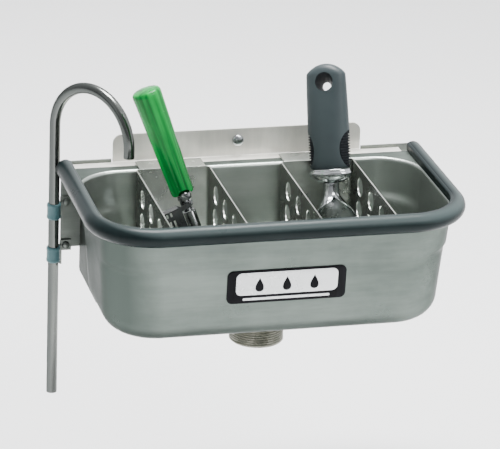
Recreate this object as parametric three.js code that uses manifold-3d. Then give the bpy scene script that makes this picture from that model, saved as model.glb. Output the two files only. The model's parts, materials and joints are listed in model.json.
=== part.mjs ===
// A wall-hung utensil rinse well: a drawn steel basin in a sheet-metal wall bracket, with a gooseneck
// water tube, a drain with a lift-out overflow pipe, two lift-out perforated dividers, a portion disher
// with a thumb lever that drives a rack, pinion and scraper, and a soft-grip scoop.
// Millimetres. Origin on the wall face, at rim height, centred. +X right, -Y out from the wall, +Z up.
import * as THREE from "three";
import { mergeVertices } from "three/addons/utils/BufferGeometryUtils.js";
import Module from "manifold-3d";

const wasm = await Module();
wasm.setup();

// ---------------------------------------------------------------- driving dimensions
const GAP = 0.3; // between solids that touch
const SHEET = 1.5; // bracket sheet
const PAN_Y = -104.3; // basin centre, out from the wall
const OPENING = { x: 153, y: 76.5 }; // half sizes of the basin's mouth
const PAN_WALL = 1;
const DEPTH = 102;
const DRAFT = THREE.MathUtils.degToRad(4);
const SHOULDER = { top: -32, bottom: -37, upperRadius: 39, lowerRadius: 45 };
const FLOOR_FILLET = 19;
const FLANGE = { x: 162.5, y: 88, thick: 1.2, frontRadius: 53.5, backRadius: 4 };
const BUMPER = { radius: 8.5, x: 158.5, front: -84, cornerRadius: 49.5, back: 91.5, z: 0.5, lip: 5.4 };
const UPSTAND = { x: 113.3, top: 24, cornerRadius: 8, bend: 2.5, screwZ: 13 };
const EAR = { x: 159.3, top: 1.5, bottom: -79.6, cornerRadius: 6 };
const GUSSET = { x: 141, front: 27, bottom: -102.5 };
const DRAIN = { y: 14, tailRadius: 24, boreRadius: 20, bottom: -140, flangeRadius: 31 };
const TUBE = { x: -166.6, y: 97, radius: 4.75, bore: 3.9, foot: -217 };
const GOOSENECK = { radius: 43.9, start: 38.2, end: 31, turn: THREE.MathUtils.degToRad(54.5) };
const CLIP_Z = [-42, -83];
const DIVIDER = { pitch: 65.4, sheet: 1.2, top: 1.5, webY: 74.4, bottom: -98 };
const HOLES = { radius: 8.5, columns: [43, 9, -25, -59], rows: [-15, -36.5, -58, -79.5] };

// ---------------------------------------------------------------- materials
const metal = (color, roughness) => new THREE.MeshStandardMaterial({ color, roughness, metalness: 1 });
const plastic = (color, roughness) => new THREE.MeshStandardMaterial({ color, roughness, metalness: 0 });
const steel = metal(0xb9beb8, 0.35);
const bracketSteel = metal(0xc4c6bf, 0.4);
const tubeSteel = metal(0xc2c4bf, 0.25);
const chrome = metal(0xd8dcdc, 0.08);
const drainMetal = metal(0x9b9a86, 0.45);
const rubber = plastic(0x2f3a3d, 0.45);
const gasketRubber = plastic(0x1c1c1c, 0.7);
const vinyl = plastic(0x6f8f96, 0.5);
const greenPlastic = plastic(0x12913f, 0.25);
const softGrip = plastic(0x30383b, 0.55);
const badgeBlack = plastic(0x1d1f22, 0.35);
const badgeSilver = metal(0xd5d8d8, 0.3);

const [X_AXIS, Y_AXIS, Z_AXIS] = [0, 1, 2].map((i) => new THREE.Vector3().setComponent(i, 1));

// ---------------------------------------------------------------- solids
function solid(geometry) {
  const bare = new THREE.BufferGeometry();
  bare.setAttribute("position", geometry.getAttribute("position").clone());
  if (geometry.index) bare.setIndex(geometry.index.clone());
  const merged = mergeVertices(bare, 1e-4);
  return new wasm.Manifold(
    new wasm.Mesh({
      numProp: 3,
      vertProperties: merged.getAttribute("position").array,
      triVerts: new Uint32Array(merged.index.array),
    }),
  );
}

function geometryOf(manifold) {
  const mesh = manifold.getMesh();
  const geometry = new THREE.BufferGeometry();
  geometry.setAttribute("position", new THREE.BufferAttribute(new Float32Array(mesh.vertProperties), 3));
  geometry.setIndex(new THREE.BufferAttribute(new Uint32Array(mesh.triVerts), 1));
  return geometry;
}

const join = (...parts) => geometryOf(parts.map(solid).reduce((a, b) => a.add(b)));
const cut = (body, ...tools) => geometryOf(tools.map(solid).reduce((a, b) => a.subtract(b), solid(body)));
const keep = (body, region) => geometryOf(solid(body).intersect(solid(region)));

function box(x0, x1, y0, y1, z0, z1) {
  const geometry = new THREE.BoxGeometry(x1 - x0, y1 - y0, z1 - z0);
  return geometry.translate((x0 + x1) / 2, (y0 + y1) / 2, (z0 + z1) / 2);
}

// A cylinder from one end to the other along "x", "y" or "z".
function rod(axis, radius, from, to, at = [0, 0], sides = 16) {
  const geometry = new THREE.CylinderGeometry(radius, radius, to - from, sides);
  if (axis === "x") geometry.rotateZ(-Math.PI / 2).translate((from + to) / 2, at[0], at[1]);
  if (axis === "y") geometry.translate(at[0], (from + to) / 2, at[1]);
  if (axis === "z") geometry.rotateX(Math.PI / 2).translate(at[0], at[1], (from + to) / 2);
  return geometry;
}

// A body of revolution about Z from [radius, z] points given upwards along the outside.
function turned(points, sides = 24) {
  const profile = points.map(([radius, z]) => new THREE.Vector2(radius, z));
  return new THREE.LatheGeometry(profile, sides).rotateX(Math.PI / 2);
}

// A tube or ring about Z: the closed section between two radii.
function ring(inner, outer, z0, z1, sides = 24) {
  return turned([[inner, z0], [outer, z0], [outer, z1], [inner, z1], [inner, z0]], sides);
}

// A rectangle outline with one radius per corner, in the order -x-y, +x-y, +x+y, -x+y.
function roundedRect(x0, x1, y0, y1, radii, steps = 4) {
  const corners = [[x0, y0, Math.PI], [x1, y0, -Math.PI / 2], [x1, y1, 0], [x0, y1, Math.PI / 2]];
  const points = corners.flatMap(([x, y, start], i) => {
    const r = radii[i];
    const cx = x + (x === x0 ? r : -r);
    const cy = y + (y === y0 ? r : -r);
    if (r === 0) return [new THREE.Vector2(x, y)];
    return Array.from({ length: steps + 1 }, (_, k) => {
      const angle = start + (k / steps) * (Math.PI / 2);
      return new THREE.Vector2(cx + r * Math.cos(angle), cy + r * Math.sin(angle));
    });
  });
  return new THREE.Shape(points);
}

const polygon = (points) => new THREE.Shape(points.map(([x, y]) => new THREE.Vector2(x, y)));

function plate(shape, z0, z1) {
  return new THREE.ExtrudeGeometry(shape, { depth: z1 - z0, bevelEnabled: false }).translate(0, 0, z0);
}

// A plate whose outline is drawn in X and Z and whose faces are at y0 and y1.
function upright(shape, y0, y1) {
  return plate(shape, -y1, -y0).rotateX(Math.PI / 2);
}

// A closed skin through equal-length convex rings of points, lowest ring first.
function loft(rings) {
  const count = rings[0].length;
  const index = [];
  rings.slice(1).forEach((_, level) => {
    for (let i = 0; i < count; i++) {
      const a = level * count + i;
      const b = level * count + ((i + 1) % count);
      index.push(a, b, b + count, a, b + count, a + count);
    }
  });
  const last = (rings.length - 1) * count;
  for (let i = 1; i < count - 1; i++) {
    index.push(0, i + 1, i);
    index.push(last, last + i, last + i + 1);
  }
  const geometry = new THREE.BufferGeometry();
  const coordinates = rings.flat().flatMap((p) => p.toArray());
  geometry.setAttribute("position", new THREE.Float32BufferAttribute(coordinates, 3));
  geometry.setIndex(index);
  return geometry;
}

// A path with stations only where they are needed, so a straight run costs no triangles.
class Stations extends THREE.Curve {
  constructor(points, tangents) {
    super();
    this.points = points;
    this.tangents = tangents;
  }
  at(list, u) {
    return list[Math.round(u * (list.length - 1))].clone();
  }
  getPoint(u) {
    return this.at(this.points, u);
  }
  getPointAt(u) {
    return this.at(this.points, u);
  }
  getTangentAt(u) {
    return this.at(this.tangents, u);
  }
}

function sweep(section, stations) {
  return new THREE.ExtrudeGeometry(section, { steps: stations.points.length - 1, extrudePath: stations });
}

function circle(radius, sides, bore = 0) {
  const loop = (r) => Array.from({ length: sides }, (_, i) => {
    const angle = (i / sides) * 2 * Math.PI;
    return new THREE.Vector2(r * Math.cos(angle), r * Math.sin(angle));
  });
  const shape = new THREE.Shape(loop(radius));
  if (bore) shape.holes.push(new THREE.Path(loop(bore)));
  return shape;
}

function group(parent, x = 0, y = 0, z = 0) {
  const made = new THREE.Group();
  made.position.set(x, y, z);
  parent.add(made);
  return made;
}

function piece(parent, name, geometry, material) {
  const mesh = new THREE.Mesh(geometry, material);
  mesh.name = name;
  parent.add(mesh);
  return mesh;
}

const well = new THREE.Group();
const pan = group(well, 0, PAN_Y, 0);

// ---------------------------------------------------------------- basin
// The basin's inner space grown by some millimetres on every side; its mouth widens by the flare.
function basin(grow, flare = 1.5, top = 2) {
  const level = (z, inset, radius) => {
    const x = OPENING.x - inset + grow;
    const y = OPENING.y - inset + grow;
    const r = radius + grow;
    const outline = roundedRect(-x, x, -y, y, [r, r, r, r], 6);
    return outline.getPoints().map((p) => new THREE.Vector3(p.x, p.y, z));
  };
  const draft = (z) => -z * Math.tan(DRAFT);
  const kneeZ = -(DEPTH - FLOOR_FILLET);
  const kneeRadius = SHOULDER.lowerRadius - 2;
  const rings = [];
  for (let i = 5; i >= 0; i--) {
    const angle = (i / 5) * (Math.PI / 2);
    const curl = (FLOOR_FILLET + grow) * (1 - Math.cos(angle));
    const z = kneeZ - (FLOOR_FILLET + grow) * Math.sin(angle);
    rings.push(level(z, draft(kneeZ) + curl, kneeRadius - curl));
  }
  rings.push(level(SHOULDER.bottom, draft(SHOULDER.bottom), SHOULDER.lowerRadius));
  rings.push(level(SHOULDER.top, draft(SHOULDER.top), SHOULDER.upperRadius));
  rings.push(level(-2, 0, SHOULDER.upperRadius));
  rings.push(level(0, -flare, SHOULDER.upperRadius + flare));
  if (top > 0) rings.push(level(top, -flare, SHOULDER.upperRadius + flare));
  return loft(rings);
}

function panGeometry() {
  const { x, y, thick, frontRadius: f, backRadius: b } = FLANGE;
  const flange = plate(roundedRect(-x, x, -y, y, [f, f, b, b], 6), -thick, 0);
  const drainHole = rod("z", DRAIN.tailRadius + 0.5, -DEPTH - 5, -DEPTH + 5, [0, DRAIN.y], 24);
  return cut(join(flange, basin(PAN_WALL, 0, 0)), basin(0), drainHole);
}
piece(pan, "basin", panGeometry(), steel);

// A round bead with a slot that grips the rim flange, open to the back.
function bumperGeometry() {
  const { radius, x, front, cornerRadius: r, back, z, lip: lipReach } = BUMPER;
  const slot = { bottom: -3.3 - z, top: 0.3 - z, depth: x - FLANGE.x - 0.4 };
  const wallReach = x - OPENING.x - PAN_WALL - 1.2; // flat below the flange, clear of the basin's wall
  // Section axes along the path: first downwards, then inwards.
  const arc = [];
  const lip = Math.asin(-slot.top / radius);
  const mouth = Math.asin(-slot.bottom / radius);
  for (let i = 0; i <= 18; i++) {
    const angle = mouth + (i / 18) * (2 * Math.PI - mouth + lip);
    const reach = Math.sin(angle) > 0.1 ? wallReach : lipReach;
    arc.push(new THREE.Vector2(radius * Math.sin(angle), Math.min(reach, radius * Math.cos(angle))));
  }
  arc.push(new THREE.Vector2(-slot.top, slot.depth));
  arc.push(new THREE.Vector2(-slot.bottom, slot.depth));
  const points = [new THREE.Vector3(-x, back, z)];
  const tangents = [new THREE.Vector3(0, -1, 0)];
  for (const side of [-1, 1]) {
    for (let i = 0; i <= 8; i++) {
      const angle = Math.PI + (side === 1 ? Math.PI / 2 : 0) + (i / 8) * (Math.PI / 2);
      const centre = new THREE.Vector3(side * (x - r), front + r, z);
      points.push(new THREE.Vector3(r * Math.cos(angle), r * Math.sin(angle), 0).add(centre));
      tangents.push(new THREE.Vector3(-Math.sin(angle), Math.cos(angle), 0));
    }
  }
  points.push(new THREE.Vector3(x, back, z));
  tangents.push(new THREE.Vector3(0, 1, 0));
  return sweep(new THREE.Shape(arc), new Stations(points, tangents));
}
piece(pan, "rim_bumper", bumperGeometry(), rubber);

// ---------------------------------------------------------------- wall bracket
// An angle whose ledge carries the rear flange and whose upstand is screwed to the wall.
function hangerGeometry() {
  const low = -FLANGE.thick - GAP - SHEET;
  const front = PAN_Y + OPENING.y + PAN_WALL + GAP;
  const { x, top, bend, cornerRadius: r, screwZ } = UPSTAND;
  const profile = new THREE.Shape();
  profile.moveTo(front, low);
  profile.absarc(-bend, low + bend, bend, -Math.PI / 2, 0, false);
  profile.lineTo(0, top);
  profile.lineTo(-SHEET, top);
  profile.absarc(-bend, low + bend, bend - SHEET, 0, -Math.PI / 2, true);
  profile.lineTo(front, low + SHEET);
  const angle = new THREE.ExtrudeGeometry(profile, { depth: 2 * x, bevelEnabled: false, curveSegments: 5 });
  angle.translate(0, 0, -x).applyMatrix4(new THREE.Matrix4().makeBasis(Y_AXIS, Z_AXIS, X_AXIS));
  const outline = upright(roundedRect(-x, x, low - 1, top, [0, 0, r, r], 5), front - 1, 1);
  const wings = [-1, 1].map((side) => {
    const [inner, outer] = [side * (x - 1), side * (BUMPER.x - BUMPER.radius - 0.5)];
    return box(Math.min(inner, outer), Math.max(inner, outer), front, -SHEET - GAP, low, low + SHEET);
  });
  return cut(join(keep(angle, outline), ...wings), rod("y", 2.8, -SHEET - 1, 1, [0, screwZ], 16));
}
piece(well, "hanger_bracket", hangerGeometry(), bracketSteel);

function backPlateGeometry() {
  const { x, top, bottom, cornerRadius: r } = EAR;
  const half = GUSSET.x + SHEET / 2;
  const ears = upright(roundedRect(-x, x, bottom, top, [r, r, 2, 2], 4), -SHEET, 0);
  const middle = upright(roundedRect(-half, half, GUSSET.bottom, -10, [2, 2, 0, 0]), -SHEET, 0);
  const notch = box(-UPSTAND.x - 1, UPSTAND.x + 1, -SHEET - 1, 1, -6, top + 1);
  return cut(join(ears, middle), notch);
}
piece(well, "back_plate", backPlateGeometry(), bracketSteel);

for (const [name, side] of [["gusset_left", -1], ["gusset_right", 1]]) {
  const x = side * GUSSET.x;
  const back = -PAN_Y - SHEET - GAP;
  const blank = box(x - SHEET / 2, x + SHEET / 2, GUSSET.front, back, GUSSET.bottom, -3.4);
  piece(pan, name, cut(blank, basin(PAN_WALL + GAP)), bracketSteel);
}

// A screw along +Z from its head's top, [radius, z] profile; the shank starts at z = 0.
function screw(shank, length, head, rise) {
  const dome = [[head * 0.6, -rise * 0.85], [head * 0.94, -rise * 0.4], [head, 0]];
  return turned([[0, -rise], ...dome, [shank, 0], [shank, length], [0, length]], 18);
}
const mountingScrew = screw(2.5, SHEET + 0.2, 5.5, 3.6).rotateX(-Math.PI / 2);
piece(well, "mounting_screw", mountingScrew.translate(0, -SHEET - 0.2, UPSTAND.screwZ), chrome);

// ---------------------------------------------------------------- badge
const badge = group(pan, 1.5, -(OPENING.y + PAN_WALL), 0);
badge.rotation.x = DRAFT;
const BADGE = { x: 52, top: -37.5, bottom: -68, corner: 5, thick: 0.9 };
const BADGE_PANEL = { x: 44.5, top: -39.2, bottom: -60.2, corner: 5, thick: 0.4 };
const badgeFace = -GAP - BADGE.thick;
function badgeSheet({ x, top, bottom, corner: r, thick }, back) {
  return upright(roundedRect(-x, x, bottom, top, [r, r, r, r], 4), back - thick, back);
}
piece(badge, "badge_plate", badgeSheet(BADGE, -GAP), badgeBlack);
piece(badge, "badge_panel", badgeSheet(BADGE_PANEL, badgeFace - GAP), badgeSilver);

// ---------------------------------------------------------------- water tube and its clips
function tubeGeometry() {
  const { radius: bend, start, end, turn } = GOOSENECK;
  const heading = new THREE.Vector3(Math.cos(turn), -Math.sin(turn), 0);
  const points = [new THREE.Vector3(0, 0, TUBE.foot)];
  const tangents = [new THREE.Vector3(0, 0, 1)];
  for (let i = 0; i <= 16; i++) {
    const angle = (i / 16) * Math.PI;
    const along = heading.clone().multiplyScalar(bend * (1 - Math.cos(angle)));
    points.push(along.setZ(start + bend * Math.sin(angle)));
    tangents.push(heading.clone().multiplyScalar(Math.sin(angle)).setZ(Math.cos(angle)));
  }
  points.push(heading.clone().multiplyScalar(2 * bend).setZ(end));
  tangents.push(new THREE.Vector3(0, 0, -1));
  return sweep(circle(TUBE.radius, 12, TUBE.bore), new Stations(points, tangents));
}
const riser = group(pan, TUBE.x, TUBE.y, 0);
piece(riser, "water_tube", tubeGeometry(), tubeSteel);

["upper", "lower"].forEach((level, i) => {
  const z = CLIP_Z[i];
  const clip = group(riser, 0, 0, z);
  const earFace = -PAN_Y - SHEET - TUBE.y; // front of the back plate, from the tube's axis
  const edge = -EAR.x - TUBE.x; // the back plate's left edge, from the tube's axis
  piece(clip, `clip_cushion_${level}`, ring(TUBE.radius + 0.15, 6.3, -7.2, 7.2, 20), vinyl);
  const arm = box(5.2, edge + 0.6, 1.5, earFace - GAP, i === 0 ? -7 : -11, 7);
  const foot = box(edge - 0.8, edge + 9.5, earFace - GAP - SHEET, earFace - GAP, 1, 11);
  const boss = rod("z", 6.3 + GAP, -12, 12, [0, 0], 20);
  const hole = rod("y", 1.9, 0, 20, [edge + 4.5, 6], 12);
  piece(clip, `clip_strap_${level}`, cut(join(arm, foot), boss, hole), bracketSteel);
  const clipScrew = screw(1.6, 2.1, 3.4, 2).rotateX(-Math.PI / 2);
  piece(clip, `clip_screw_${level}`, clipScrew.translate(edge + 4.5, earFace - 2.2, 6), chrome);
});

// ---------------------------------------------------------------- drain
const drain = group(pan, 0, DRAIN.y, 0);
const { tailRadius: tail, boreRadius: bore } = DRAIN;
const FLOOR = -DEPTH;
const drainProfile = [
  [18, FLOOR - 8], [bore, FLOOR - 10], [bore, DRAIN.bottom], [tail - 0.8, DRAIN.bottom],
  [tail, DRAIN.bottom + 1.5], [tail, FLOOR + GAP], [DRAIN.flangeRadius, FLOOR + GAP],
  [DRAIN.flangeRadius - 1, FLOOR + 2], [22, FLOOR + 2.4], [18, FLOOR + 0.5], [18, FLOOR - 8],
];
piece(drain, "drain_body", turned(drainProfile, 32), drainMetal);
const underside = FLOOR - PAN_WALL - GAP;
piece(drain, "drain_gasket", ring(tail + GAP, 31, underside - 3, underside, 32), gasketRubber);
const nutBlank = plate(circle(34, 6), underside - 11.5, underside - 3 - GAP);
const locknut = cut(nutBlank, rod("z", tail + GAP, -200, 0, [0, 0], 32));
piece(drain, "drain_locknut", locknut, drainMetal);

const overflow = group(drain);
const pipeProfile = [
  [12.8, FLOOR - 6], [14, FLOOR - 6], [14, -47], [15.5, -45.5], [15.5, -44], [14.3, -44], [12.8, -46.5],
  [12.8, FLOOR - 6],
];
piece(overflow, "overflow_pipe", turned(pipeProfile, 24), steel);
const stopper = [
  [14.3, FLOOR - 5], [16.6, FLOOR - 5], [17.7, FLOOR + 3], [17.7, FLOOR + 6], [14.3, FLOOR + 6],
  [14.3, FLOOR - 5],
];
piece(overflow, "overflow_stopper", turned(stopper, 24), gasketRubber);

// ---------------------------------------------------------------- dividers
// Two perforated side plates joined by a plain back web with a tab that hooks over the rear rim.
function dividerGeometry(centre) {
  const { pitch, sheet, top, webY, bottom } = DIVIDER;
  const edges = [centre - pitch / 2, centre + pitch / 2];
  const inside = basin(-1.2, 1.5, top);
  const left = edges[0] - sheet / 2;
  const right = edges[1] + sheet / 2;
  const blanks = [left, right - sheet].map((x) => box(x, x + sheet, -OPENING.y, webY, bottom, top));
  const sides = blanks.map((blank) => keep(blank, inside));
  const web = box(left, right, -sheet, 0, -80, 0).rotateX(-DRAFT).translate(0, webY, top - 0.2);
  const tab = box(left + 3, right - 3, webY - sheet, webY + 21, GAP, top);
  const holes = HOLES.rows.flatMap((z, row) => {
    const columns = row === HOLES.rows.length - 1 ? HOLES.columns.slice(1, 3) : HOLES.columns;
    return columns.map((y) => rod("x", HOLES.radius, left - 5, right + 5, [y, z], 10));
  });
  return cut(join(...sides, web, tab), ...holes);
}
piece(pan, "divider_left", dividerGeometry(-DIVIDER.pitch), steel);
piece(pan, "divider_right", dividerGeometry(DIVIDER.pitch), steel);

// ---------------------------------------------------------------- disher
// Its own frame: Z up the handle from the handle's lower end, lever on -X, mouth of the bowl on +X.
const disher = group(pan, -76, -12, 10.4);
disher.rotation.set(THREE.MathUtils.degToRad(-7.5), THREE.MathUtils.degToRad(-19.5), 0);
const BOWL = { z: -89, radius: 28, wall: 0.9 };
const STEM = { radius: 5.5, bore: 1.8, top: -16 };
const FERRULE = { radius: 6.3, z: -1 };
const PINION = { teeth: 12, module: 0.8, z: -9.5, width: 4 };
const LEVER = { pivotZ: -45.5, thick: 1.5, stud: 1.5, hole: 1.8, boss: 5.5 };
const PITCH_RADIUS = (PINION.teeth * PINION.module) / 2;
const RACK_RADIUS = PINION.z - LEVER.pivotZ;
const LEVER_FACE = -(PITCH_RADIUS + 0.95); // the lever plate's face towards the stem

const handleProfile = [
  [0, 0.5], [9, 0.5], [9.7, 1.2], [10.6, 30], [11.7, 66], [12.6, 94], [11.4, 97.4], [0, 98.4],
];
const handleMouth = rod("y", FERRULE.radius + GAP, -20, 20, [0, FERRULE.z], 24);
piece(disher, "disher_handle", cut(turned(handleProfile, 24), handleMouth), greenPlastic);

// A round-ended ferrule, a cheek that bridges the pinion, and a tube for the scraper's axle to the bowl.
function shankGeometry() {
  const { radius, bore, top } = STEM;
  const dome = Array.from({ length: 6 }, (_, i) => {
    const angle = (i / 5) * (Math.PI / 2);
    return [FERRULE.radius * Math.cos(angle), FERRULE.z + FERRULE.radius * Math.sin(angle)];
  });
  dome[5][0] = 0;
  const ferrule = turned([[0, -4.8], [6, -4.8], [6.3, -3.5], ...dome], 20);
  const bridge = box(-4.2, 4.2, -3, 9.2, -4.8, 0);
  const cheek = box(-4.2, 4.2, 6.4, 9.2, top - 3, 0);
  const shelf = box(-4.2, 4.2, -4, 9.2, top - 3, top + 1);
  const stem = rod("z", radius, -66, top, [0, 0], 16);
  const ball = new THREE.SphereGeometry(BOWL.radius + GAP, 32, 24).translate(0, 0, BOWL.z);
  const axle = rod("z", bore, -70, top + 3, [0, 0], 12);
  const stud = rod("y", LEVER.hole + 0.1, -12, -2.4, [0, LEVER.pivotZ], 12);
  const leverPath = box(-8, 8, -10, LEVER_FACE + GAP, -6, 0.4); // a flat the pressed lever passes
  return cut(join(stem, ferrule, bridge, cheek, shelf), ball, axle, stud, leverPath);
}
piece(disher, "disher_shank", shankGeometry(), chrome);

function bowlGeometry() {
  const { radius, wall, z } = BOWL;
  const ball = (r) => new THREE.SphereGeometry(r, 24, 16).rotateX(Math.PI / 2).translate(0, 0, z);
  const front = box(0, 40, -40, 40, z - 40, z + 40);
  const axle = rod("z", 2, z - 40, z + 40, [0, 0], 12);
  return cut(ball(radius), ball(radius - wall), front, axle);
}
piece(disher, "disher_bowl", bowlGeometry(), chrome);
const stud = turned([[0, 2.8], [LEVER.stud, 2.8], [LEVER.stud, 10.6], [3.4, 10.6], [3, 11.8], [0, 11.8]], 16);
piece(disher, "lever_pin", stud.rotateX(Math.PI / 2).translate(0, 0, LEVER.pivotZ), chrome);

// A slotted plate up from the stud, an arc of rack teeth about the stud, and a thumb pad bent forwards.
const LEVER_PLATE = [[-23, -6.4], [-22.6, -28], [-9, -39.5], [-1, -42], [-6.5, -30], [-7, -8], [-10, -5.6]];
// Each slot's X, its lower end and its upper end.
const LEVER_SLOTS = [[-20.4, -13.5, -8.5], [-16.8, -13.5, -8.5], [-19.4, -26, -17], [-15.8, -28, -17]];
const RACK = { teeth: 7, from: THREE.MathUtils.degToRad(86), to: THREE.MathUtils.degToRad(118) };

function leverGeometry() {
  const [back, front] = [LEVER_FACE - LEVER.thick, LEVER_FACE];
  const half = PINION.width / 2;
  const band = new THREE.Shape();
  band.absarc(0, LEVER.pivotZ, RACK_RADIUS + half, RACK.from, RACK.to, false);
  band.absarc(0, LEVER.pivotZ, RACK_RADIUS - half, RACK.to, RACK.from, true);
  const step = (Math.PI * PINION.module) / RACK_RADIUS;
  const teeth = Array.from({ length: RACK.teeth }, (_, i) => {
    const tooth = polygon([[-0.6, -0.2], [0.6, -0.2], [0.25, 1.5], [-0.25, 1.5]]);
    const bar = plate(tooth, -half, half).translate(0, front, RACK_RADIUS);
    return bar.rotateY(-i * step).translate(0, 0, LEVER.pivotZ);
  });
  const pad = box(-6.5, 6.5, -15.5, front, -0.6, 0.6).rotateY(-0.06).translate(-16.5, 0, -6.4);
  const boss = rod("y", LEVER.boss, back, front, [0, LEVER.pivotZ], 20);
  const face = upright(polygon(LEVER_PLATE), back, front);
  const slots = LEVER_SLOTS.map(([x, low, high]) => box(x - 0.9, x + 0.9, back - 1, front + 1, low, high));
  const studHole = rod("y", LEVER.hole, -20, 20, [0, LEVER.pivotZ], 12);
  return cut(join(upright(band, back, front), face, boss, pad, ...teeth), studHole, ...slots);
}
piece(disher, "thumb_lever", leverGeometry(), chrome);

function springGeometry() {
  const [coil, wire, rise, turns] = [3, 0.35, 0.16, 2];
  const stations = Array.from({ length: 21 }, (_, i) => (i / 20) * turns * 2 * Math.PI);
  const at = (a) => new THREE.Vector3(coil * Math.cos(a), -rise * a, coil * Math.sin(a));
  const along = (a) => new THREE.Vector3(-coil * Math.sin(a), -rise, coil * Math.cos(a)).normalize();
  const coils = sweep(circle(wire, 6), new Stations(stations.map(at), stations.map(along)));
  return coils.translate(0, LEVER_FACE - LEVER.thick - 0.7, LEVER.pivotZ);
}
piece(disher, "return_spring", springGeometry(), chrome);

// Teeth drawn flank by flank; a gap faces the rack.
function pinionGeometry() {
  const [tip, root] = [PITCH_RADIUS + 0.55, PITCH_RADIUS - 0.9];
  const outline = Array.from({ length: PINION.teeth }, (_, i) => {
    const middle = -Math.PI / 2 + ((i + 0.5) / PINION.teeth) * 2 * Math.PI;
    const flanks = [[root, -0.17], [tip, -0.05], [tip, 0.05], [root, 0.17]];
    return flanks.map(([r, turn]) => [r * Math.cos(middle + turn), r * Math.sin(middle + turn)]);
  }).flat();
  const z = PINION.z - PINION.width / 2;
  return cut(plate(polygon(outline), z, z + PINION.width), rod("z", STEM.bore, -80, 0, [0, 0], 12));
}
piece(disher, "scraper_pinion", pinionGeometry(), chrome);

// A half ring that follows the bowl's inside, on an axle that runs up the stem to the pinion.
function scraperGeometry() {
  const [outer, inner] = [BOWL.radius - BOWL.wall - 0.9, BOWL.radius - BOWL.wall - 1.9];
  const band = new THREE.Shape();
  band.absarc(0, 0, outer, -Math.PI / 2, Math.PI / 2, false);
  band.absarc(0, 0, inner, Math.PI / 2, -Math.PI / 2, true);
  const blade = new THREE.ExtrudeGeometry(band, { depth: 6, bevelEnabled: false, curveSegments: 16 });
  blade.translate(0, 0, -3).rotateX(Math.PI / 2).translate(0, 0, BOWL.z);
  const upper = rod("z", 1.5, BOWL.z + inner, PINION.z + 3.5, [0, 0], 12);
  const lower = rod("z", 1.5, BOWL.z - BOWL.radius - 1.2, BOWL.z - inner, [0, 0], 12);
  return join(blade.rotateZ(THREE.MathUtils.degToRad(98.5)), upper, lower);
}
piece(disher, "scraper_blade", scraperGeometry(), chrome);

// ---------------------------------------------------------------- scoop
// Its own frame: Z up the handle from the collar, broad face and bowl mouth towards -Y.
const scoop = group(pan, 73.7, 55.8, -5.1);
scoop.rotation.set(THREE.MathUtils.degToRad(-20), 0, THREE.MathUtils.degToRad(-31));

const oval = (z, a, b) => Array.from({ length: 24 }, (_, i) => {
  const angle = (i / 24) * 2 * Math.PI;
  return new THREE.Vector3(a * Math.cos(angle), b * Math.sin(angle), z);
});
// Height, half width and half depth of the grip; the last five draw its round top.
const GRIP_LEVELS = [
  [4, 17.6, 10.2], [10, 18.5, 10.8], [30, 18.9, 11], [60, 18.5, 10], [87.5, 17.9, 8.6], [91, 15.2, 8],
  [94, 11.1, 7], [96, 6.7, 5], [97, 1.2, 1.2],
];
const HANG_HOLE = { x: -1, z: 78.6, tilt: -0.25, turn: 0.11, front: 8.8, back: 3 };
const POCKET = { x: 18.5, z: 21, width: 10.5, depth: 12, height: 16.5 };

function pocketGeometry(side, shrink) {
  const lens = new THREE.SphereGeometry(1, 14, 10);
  lens.scale(POCKET.width - shrink, POCKET.depth - shrink, POCKET.height - shrink);
  return lens.translate(side * POCKET.x, 0, POCKET.z);
}

function gripGeometry() {
  const body = loft(GRIP_LEVELS.map(([z, a, b]) => oval(z, a, b)));
  const { x, z, tilt, turn, front, back } = HANG_HOLE;
  const hole = new THREE.CylinderGeometry(back, front, 24, 20).rotateX(tilt).rotateZ(turn).translate(x, 0, z);
  return cut(body, hole, pocketGeometry(-1, 0), pocketGeometry(1, 0));
}

function finsGeometry(side) {
  const body = loft(GRIP_LEVELS.map(([z, a, b]) => oval(z, a - 0.2, b - 0.2)));
  return keep(pocketGeometry(side, GAP), body);
}
piece(scoop, "scoop_grip", gripGeometry(), softGrip);
piece(scoop, "grip_fins_left", finsGeometry(-1), softGrip);
piece(scoop, "grip_fins_right", finsGeometry(1), softGrip);

const COLLAR = [
  [0, -8.4], [8.4, -8.4], [12, -7.2], [16, -5.2], [18.8, -2.6], [19.5, -0.2], [17.8, 3.7], [0, 3.7],
];
piece(scoop, "scoop_collar", turned(COLLAR, 24).scale(1, 0.62, 1), chrome);

// Height, half width and half depth of the spade's outside, tip first, and of the neck.
const SPADE = [
  [-96.5, 6.4, 4], [-93, 12.8, 8.5], [-86, 18.2, 12], [-74, 21.4, 14.2], [-58, 22.6, 15], [-44, 21.6, 13.5],
  [-34, 18, 10.5], [-26, 12.2, 7], [-20, 7.7, 5],
];
const NECK = [[-30, 7.2, 3.2], [-20, 7.2, 4.8], [-8.4 - GAP, 7.5, 5.2]];
const SPADE_MOUTH = { y: -8, wall: 1.3, turn: 0.59 };

function bladeGeometry() {
  const { y, wall, turn } = SPADE_MOUTH;
  const outer = loft(SPADE.map(([z, a, b]) => oval(z, a, b))).translate(0, y, 0);
  const [tip, ...rest] = SPADE.slice(0, -1);
  const hollow = [[tip[0] + wall, tip[1], tip[2]], ...rest];
  const inner = loft(hollow.map(([z, a, b]) => oval(z, a - wall, b - wall))).translate(0, y, 0);
  const neck = loft(NECK.map(([z, a, b]) => oval(z, a, b)));
  return cut(join(outer, neck), inner, box(-30, 30, -40, y, -110, -22)).rotateZ(turn);
}
piece(scoop, "scoop_blade", bladeGeometry(), chrome);

export default well;
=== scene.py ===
"""Looks for a wall-hung utensil rinse well: basin, bumper, tube, drain, dividers, disher and scoop."""

import json
import math

import bmesh
import bpy
from mathutils import Matrix, Vector

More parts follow.
